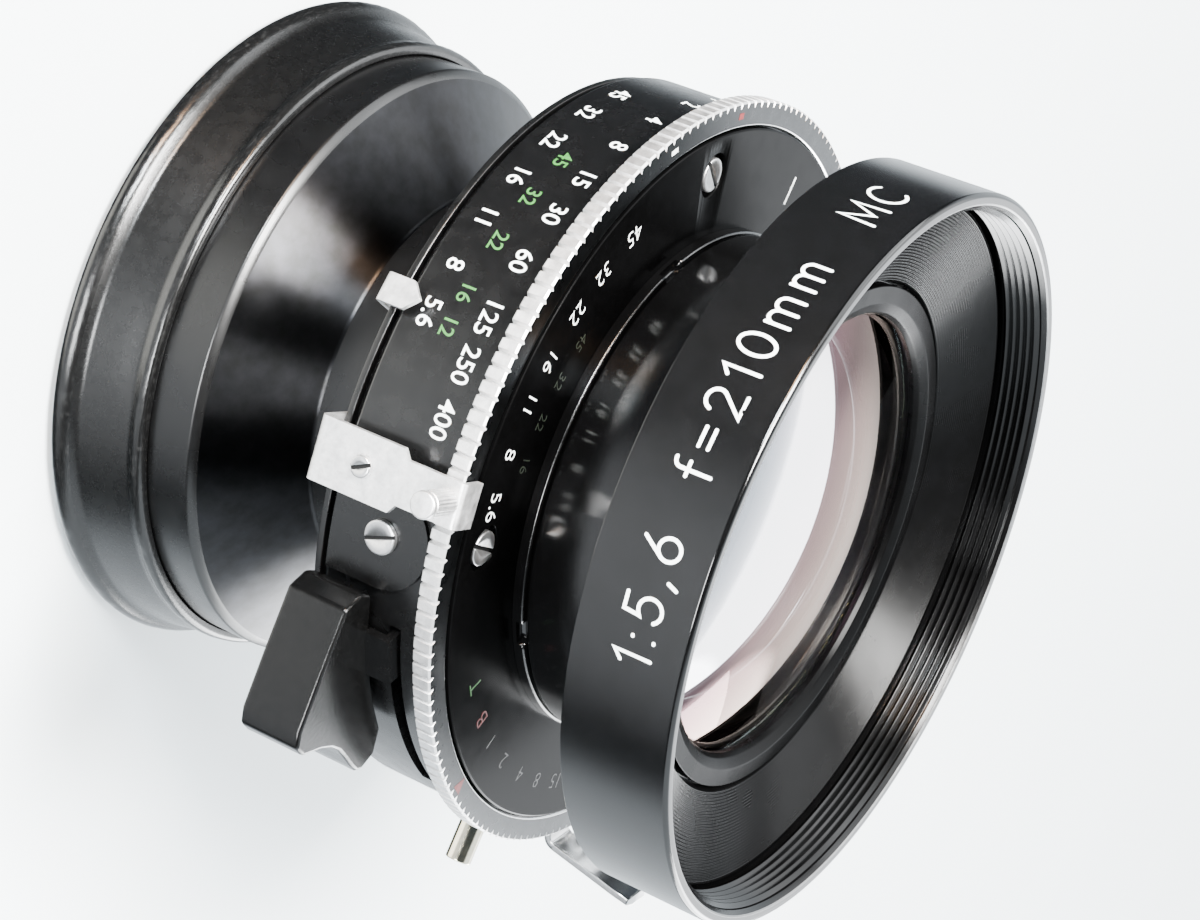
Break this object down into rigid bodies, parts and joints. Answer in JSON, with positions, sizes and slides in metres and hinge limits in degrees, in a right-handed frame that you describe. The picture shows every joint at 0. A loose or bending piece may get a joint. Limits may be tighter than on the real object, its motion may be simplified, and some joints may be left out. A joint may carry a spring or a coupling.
{
  "type": "view camera lens",
  "caption": "Large-format lens in a leaf shutter with a knurled speed ring, aperture lever and push-on rear cap.",
  "frame": {"origin": "on the optical axis at the face of the shutter that seats on a lensboard", "axes": "+Z along the optical axis towards the front glass, +Y towards the top of the shutter"},
  "size_m": [0.0819, 0.0803, 0.0691],
  "materials": {
    "black_anodised": "satin",
    "black_paint": "satin",
    "coated_glass": "polished",
    "moulded_black": "satin",
    "satin_chrome": "satin",
    "bright_steel": "polished",
    "blade_steel": "matte",
    "brass": "satin"
  },
  "bodies": {
    "lens_and_shutter": {"blade_plate": "black_paint", "cable_socket": "satin_chrome", "filter_ring": "black_anodised", "front_baffle": "black_anodised", "front_barrel": "black_anodised", "front_element_inner": "coated_glass", "front_element_outer": "coated_glass", "front_element_second": "coated_glass", "front_inner_ring": "black_anodised", "front_locking_ring": "black_paint", "front_plate": "black_paint", "front_plate_screws": "bright_steel", "front_retainer": "black_anodised", "front_spacer": "black_anodised", "iris_plate": "black_paint", "lensboard_ring": "black_anodised", "mechanism_plate": "black_paint", "plate_spacers": "blade_steel", "rear_barrel": "black_anodised", "rear_element_inner": "coated_glass", "rear_element_outer": "coated_glass", "rear_element_second": "coated_glass", "rear_inner_ring": "black_anodised", "rear_retainer": "black_anodised", "shutter_case": "black_paint", "side_cover": "black_paint", "side_cover_screw": "bright_steel", "sync_insulator": "moulded_black", "sync_pin": "brass", "sync_terminal": "brass"},
    "speed_control": {"speed_ring": "satin_chrome", "speed_cam": "blade_steel"},
    "aperture_control": {"aperture_ring": "black_paint", "aperture_pointer": "bright_steel", "aperture_bracket": "bright_steel", "bracket_screw": "bright_steel", "thumb_post": "bright_steel", "iris_ring": "blade_steel"},
    "preview_lever": {"blade_ring": "blade_steel", "preview_tab": "bright_steel"},
    "cocking_lever": {"cocking_ring": "blade_steel", "cocking_grip": "moulded_black"},
    "release_lever_arm": {"release_lever": "bright_steel"},
    "cable_plunger_pin": {"cable_plunger": "bright_steel"},
    "cap": {"rear_cap": "moulded_black"},
    "iris_blade_1_body": {"iris_blade_1": "blade_steel"},
    "iris_blade_2_body": {"iris_blade_2": "blade_steel"},
    "iris_blade_3_body": {"iris_blade_3": "blade_steel"},
    "iris_blade_4_body": {"iris_blade_4": "blade_steel"},
    "iris_blade_5_body": {"iris_blade_5": "blade_steel"},
    "iris_blade_6_body": {"iris_blade_6": "blade_steel"},
    "iris_blade_7_body": {"iris_blade_7": "blade_steel"},
    "shutter_blade_1_body": {"shutter_blade_1": "blade_steel"},
    "shutter_blade_2_body": {"shutter_blade_2": "blade_steel"},
    "shutter_blade_3_body": {"shutter_blade_3": "blade_steel"},
    "shutter_blade_4_body": {"shutter_blade_4": "blade_steel"},
    "shutter_blade_5_body": {"shutter_blade_5": "blade_steel"}
  },
  "joints": [
    {"name": "speed_turn", "type": "hinge", "parent": "lens_and_shutter", "child": "speed_control", "pos_m": [0, 0, 0.0135], "axis": [0, 0, 1], "range_deg": [-17.4, 78.3]},
    {"name": "aperture_turn", "type": "hinge", "parent": "lens_and_shutter", "child": "aperture_control", "pos_m": [0, 0, 0.001], "axis": [0, 0, 1], "range_deg": [-51, 0]},
    {"name": "preview_turn", "type": "hinge", "parent": "lens_and_shutter", "child": "preview_lever", "pos_m": [0, 0, 0.0078], "axis": [0, 0, 1], "range_deg": [0, 13]},
    {"name": "cocking_turn", "type": "hinge", "parent": "lens_and_shutter", "child": "cocking_lever", "pos_m": [0, 0, 0.0098], "axis": [0, 0, 1], "range_deg": [0, 26], "stiffness_Nm_per_rad": 0.04, "springref_deg": -17.19},
    {"name": "release_turn", "type": "hinge", "parent": "lens_and_shutter", "child": "release_lever_arm", "pos_m": [-0.01272, -0.02551, 0.0098], "axis": [0, 0, 1], "range_deg": [-10, 0], "stiffness_Nm_per_rad": 0.02, "springref_deg": 11.46},
    {"name": "plunger_push", "type": "slide", "parent": "lens_and_shutter", "child": "cable_plunger_pin", "axis": [0.2756, 0.9613, 0], "range_m": [0, 0.002], "stiffness_N_per_m": 200, "springref_m": -0.001},
    {"name": "cap_pull", "type": "slide", "parent": "lens_and_shutter", "child": "cap", "axis": [0, 0, -1], "range_m": [0, 0.012]},
    {"name": "iris_blade_1_turn", "type": "hinge", "parent": "lens_and_shutter", "child": "iris_blade_1_body", "pos_m": [0.0216, 0, 0.0039], "axis": [0, 0, 1], "range_deg": [-37, 1]},
    {"name": "iris_blade_2_turn", "type": "hinge", "parent": "lens_and_shutter", "child": "iris_blade_2_body", "pos_m": [0.01347, 0.01689, 0.00404], "axis": [0, 0, 1], "range_deg": [-37, 1]},
    {"name": "iris_blade_3_turn", "type": "hinge", "parent": "lens_and_shutter", "child": "iris_blade_3_body", "pos_m": [-0.00481, 0.02106, 0.00418], "axis": [0, 0, 1], "range_deg": [-37, 1]},
    {"name": "iris_blade_4_turn", "type": "hinge", "parent": "lens_and_shutter", "child": "iris_blade_4_body", "pos_m": [-0.01946, 0.00937, 0.00432], "axis": [0, 0, 1], "range_deg": [-37, 1]},
    {"name": "iris_blade_5_turn", "type": "hinge", "parent": "lens_and_shutter", "child": "iris_blade_5_body", "pos_m": [-0.01946, -0.00937, 0.00446], "axis": [0, 0, 1], "range_deg": [-37, 1]},
    {"name": "iris_blade_6_turn", "type": "hinge", "parent": "lens_and_shutter", "child": "iris_blade_6_body", "pos_m": [-0.00481, -0.02106, 0.0046], "axis": [0, 0, 1], "range_deg": [-37, 1]},
    {"name": "iris_blade_7_turn", "type": "hinge", "parent": "lens_and_shutter", "child": "iris_blade_7_body", "pos_m": [0.01347, -0.01689, 0.00474], "axis": [0, 0, 1], "range_deg": [-37, 1]},
    {"name": "shutter_blade_1_turn", "type": "hinge", "parent": "lens_and_shutter", "child": "shutter_blade_1_body", "pos_m": [0.0216, 0, 0.0059], "axis": [0, 0, 1], "range_deg": [-1, 48]},
    {"name": "shutter_blade_2_turn", "type": "hinge", "parent": "lens_and_shutter", "child": "shutter_blade_2_body", "pos_m": [0.00667, 0.02054, 0.00606], "axis": [0, 0, 1], "range_deg": [-1, 48]},
    {"name": "shutter_blade_3_turn", "type": "hinge", "parent": "lens_and_shutter", "child": "shutter_blade_3_body", "pos_m": [-0.01747, 0.0127, 0.00622], "axis": [0, 0, 1], "range_deg": [-1, 48]},
    {"name": "shutter_blade_4_turn", "type": "hinge", "parent": "lens_and_shutter", "child": "shutter_blade_4_body", "pos_m": [-0.01747, -0.0127, 0.00638], "axis": [0, 0, 1], "range_deg": [-1, 48]},
    {"name": "shutter_blade_5_turn", "type": "hinge", "parent": "lens_and_shutter", "child": "shutter_blade_5_body", "pos_m": [0.00667, -0.02054, 0.00654], "axis": [0, 0, 1], "range_deg": [-1, 48]}
  ],
  "couplings": [
    {"joint": "iris_blade_1_turn", "follows": "aperture_turn", "ratio": 0.72},
    {"joint": "iris_blade_2_turn", "follows": "aperture_turn", "ratio": 0.72},
    {"joint": "iris_blade_3_turn", "follows": "aperture_turn", "ratio": 0.72},
    {"joint": "iris_blade_4_turn", "follows": "aperture_turn", "ratio": 0.72},
    {"joint": "iris_blade_5_turn", "follows": "aperture_turn", "ratio": 0.72},
    {"joint": "iris_blade_6_turn", "follows": "aperture_turn", "ratio": 0.72},
    {"joint": "iris_blade_7_turn", "follows": "aperture_turn", "ratio": 0.72},
    {"joint": "shutter_blade_1_turn", "follows": "preview_turn", "ratio": 3.65},
    {"joint": "shutter_blade_2_turn", "follows": "preview_turn", "ratio": 3.65},
    {"joint": "shutter_blade_3_turn", "follows": "preview_turn", "ratio": 3.65},
    {"joint": "shutter_blade_4_turn", "follows": "preview_turn", "ratio": 3.65},
    {"joint": "shutter_blade_5_turn", "follows": "preview_turn", "ratio": 3.65}
  ]
}
